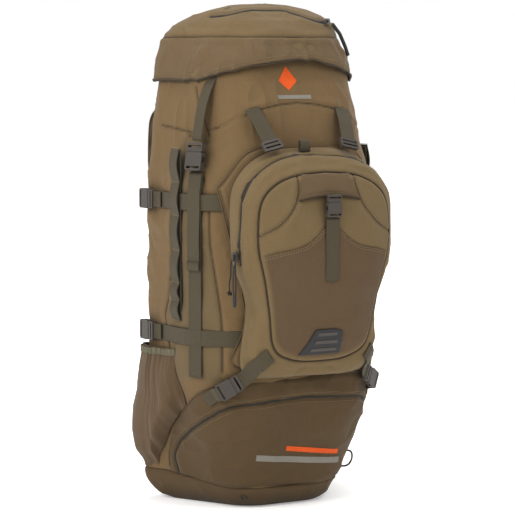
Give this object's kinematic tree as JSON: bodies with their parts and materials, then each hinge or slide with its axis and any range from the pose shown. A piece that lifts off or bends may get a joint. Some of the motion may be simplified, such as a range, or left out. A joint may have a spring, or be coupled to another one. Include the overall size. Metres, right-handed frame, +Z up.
{
  "type": "hunting backpack",
  "caption": "Internal-frame hunting backpack with top lid, detachable-style front daypack, side pockets, compression straps and padded harness.",
  "frame": {"origin": "on the floor, under the middle of the bag body", "axes": "+Z up, -Y the front with the daypack, +Y towards the wearer's back, +X the wearer's right"},
  "size_m": [0.3744, 0.4438, 0.787],
  "materials": {
    "pack_fabric": "brushed polyester, olive brown, soft sheen",
    "stretch_fabric": "stretch knit, greyer brown",
    "boot_fabric": "coarse coated pack cloth",
    "webbing": "woven nylon webbing",
    "zip_tape": "dark zip tape and coil",
    "binding": "folded edge binding",
    "foam_pad": "spacer mesh over foam",
    "buckle_plastic": "moulded acetal, matt",
    "zip_metal": "dark enamel on zinc",
    "rubber": "moulded rubber, matt",
    "cord_sheath": "braided cord",
    "stay_aluminium": "flat bar",
    "sheet_plastic": "HDPE sheet"
  },
  "bodies": {
    "root": {"back_pads": "foam_pad", "bag_sockets": "buckle_plastic", "base_panel": "boot_fabric", "bottom_compartment": "boot_fabric", "bottom_zip": "zip_tape", "compression_straps": "webbing", "daisy_chains": "webbing", "frame_sheet": "sheet_plastic", "frame_stays": "stay_aluminium", "haul_loop": "webbing", "lid_strap_anchors": "webbing", "lumbar_pad": "foam_pad", "main_bag_shell": "pack_fabric", "pocket_bindings": "binding", "shoulder_webs_left": "webbing", "shoulder_webs_right": "webbing", "shoulder_yoke": "pack_fabric", "side_pocket_left": "stretch_fabric", "side_pocket_right": "stretch_fabric", "tool_loop_cord": "cord_sheath", "top_straps": "webbing"},
    "lid": {"lid_band": "stretch_fabric", "lid_top": "pack_fabric", "lid_zip": "zip_tape", "lid_straps": "webbing", "lid_plugs": "buckle_plastic"},
    "lid_zip_slider": {"lid_slider": "zip_metal", "lid_pull": "rubber"},
    "daypack": {"daypack_shell": "pack_fabric", "daypack_wings": "pack_fabric", "daypack_front": "stretch_fabric", "daypack_hood": "pack_fabric", "rubber_patch": "rubber", "front_plug": "buckle_plastic", "daypack_zip": "zip_tape", "grab_tab": "webbing", "ladder_locks": "buckle_plastic", "lower_plugs": "buckle_plastic"},
    "front_strap_half": {"front_socket": "buckle_plastic", "front_strap": "webbing"},
    "daypack_zip_slider": {"daypack_slider": "zip_metal", "daypack_pull": "rubber", "pull_cord": "cord_sheath"},
    "bottom_zip_slider": {"bottom_slider": "zip_metal"},
    "upper_release_left": {"upper_plug_left": "buckle_plastic"},
    "upper_release_right": {"upper_plug_right": "buckle_plastic"},
    "lower_release_left": {"lower_plug_left": "buckle_plastic"},
    "lower_release_right": {"lower_plug_right": "buckle_plastic"},
    "strap_left": {"shoulder_strap_left": "foam_pad"},
    "strap_right": {"shoulder_strap_right": "foam_pad"},
    "sternum_left": {"sternum_web_left": "webbing", "sternum_plug": "buckle_plastic"},
    "sternum_right": {"sternum_web_right": "webbing", "sternum_socket": "buckle_plastic"},
    "wing_left": {"belt_wing_left": "foam_pad", "belt_web_left": "webbing", "belt_plug": "buckle_plastic"},
    "wing_right": {"belt_wing_right": "foam_pad", "belt_web_right": "webbing", "belt_socket": "buckle_plastic"}
  },
  "joints": [
    {"name": "lid_hinge", "type": "hinge", "parent": "root", "child": "lid", "pos_m": [0, 0.112, 0.667], "axis": [-1, 0, 0], "range_deg": [0, 110]},
    {"name": "lid_zip_run", "type": "hinge", "parent": "lid", "child": "lid_zip_slider", "pos_m": [0.0306, 0.016, 0.7605], "axis": [0, 0, -1], "range_deg": [0, 31]},
    {"name": "daypack_swing", "type": "hinge", "parent": "root", "child": "daypack", "pos_m": [0, -0.129, 0.5795], "axis": [-1, 0, 0], "range_deg": [0, 30]},
    {"name": "front_buckle_release", "type": "slide", "parent": "daypack", "child": "front_strap_half", "axis": [0, 0, -1], "range_m": [0, 0.022]},
    {"name": "daypack_zip_slide", "type": "slide", "parent": "daypack", "child": "daypack_zip_slider", "axis": [0, 0, 1], "range_m": [0, 0.075]},
    {"name": "bottom_zip_slide", "type": "slide", "parent": "root", "child": "bottom_zip_slider", "axis": [0, -0.6, 0.8], "range_m": [0, 0.03]},
    {"name": "upper_buckle_left", "type": "slide", "parent": "root", "child": "upper_release_left", "axis": [0, -1, 0], "range_m": [0, 0.024]},
    {"name": "upper_buckle_right", "type": "slide", "parent": "root", "child": "upper_release_right", "axis": [0, -1, 0], "range_m": [0, 0.024]},
    {"name": "lower_buckle_left", "type": "slide", "parent": "root", "child": "lower_release_left", "axis": [0, -1, 0], "range_m": [0, 0.024]},
    {"name": "lower_buckle_right", "type": "slide", "parent": "root", "child": "lower_release_right", "axis": [0, -1, 0], "range_m": [0, 0.024]},
    {"name": "shoulder_left", "type": "hinge", "parent": "root", "child": "strap_left", "pos_m": [0, 0.125, 0.602], "axis": [1, 0, 0], "range_deg": [0, 15], "deforming": ["shoulder_webs_left"]},
    {"name": "shoulder_right", "type": "hinge", "parent": "root", "child": "strap_right", "pos_m": [0, 0.125, 0.602], "axis": [1, 0, 0], "range_deg": [0, 15], "deforming": ["shoulder_webs_right"]},
    {"name": "sternum_height_left", "type": "slide", "parent": "strap_left", "child": "sternum_left", "axis": [0, 0.0995, 0.995], "range_m": [-0.02, 0.02]},
    {"name": "sternum_height_right", "type": "slide", "parent": "strap_right", "child": "sternum_right", "axis": [0, 0.0995, 0.995], "range_m": [-0.02, 0.02]},
    {"name": "belt_wing_left_swing", "type": "hinge", "parent": "root", "child": "wing_left", "pos_m": [-0.098, 0.131, 0.237], "axis": [0, 0, 1], "range_deg": [0, 60]},
    {"name": "belt_wing_right_swing", "type": "hinge", "parent": "root", "child": "wing_right", "pos_m": [0.098, 0.131, 0.237], "axis": [0, 0, -1], "range_deg": [0, 60]}
  ]
}
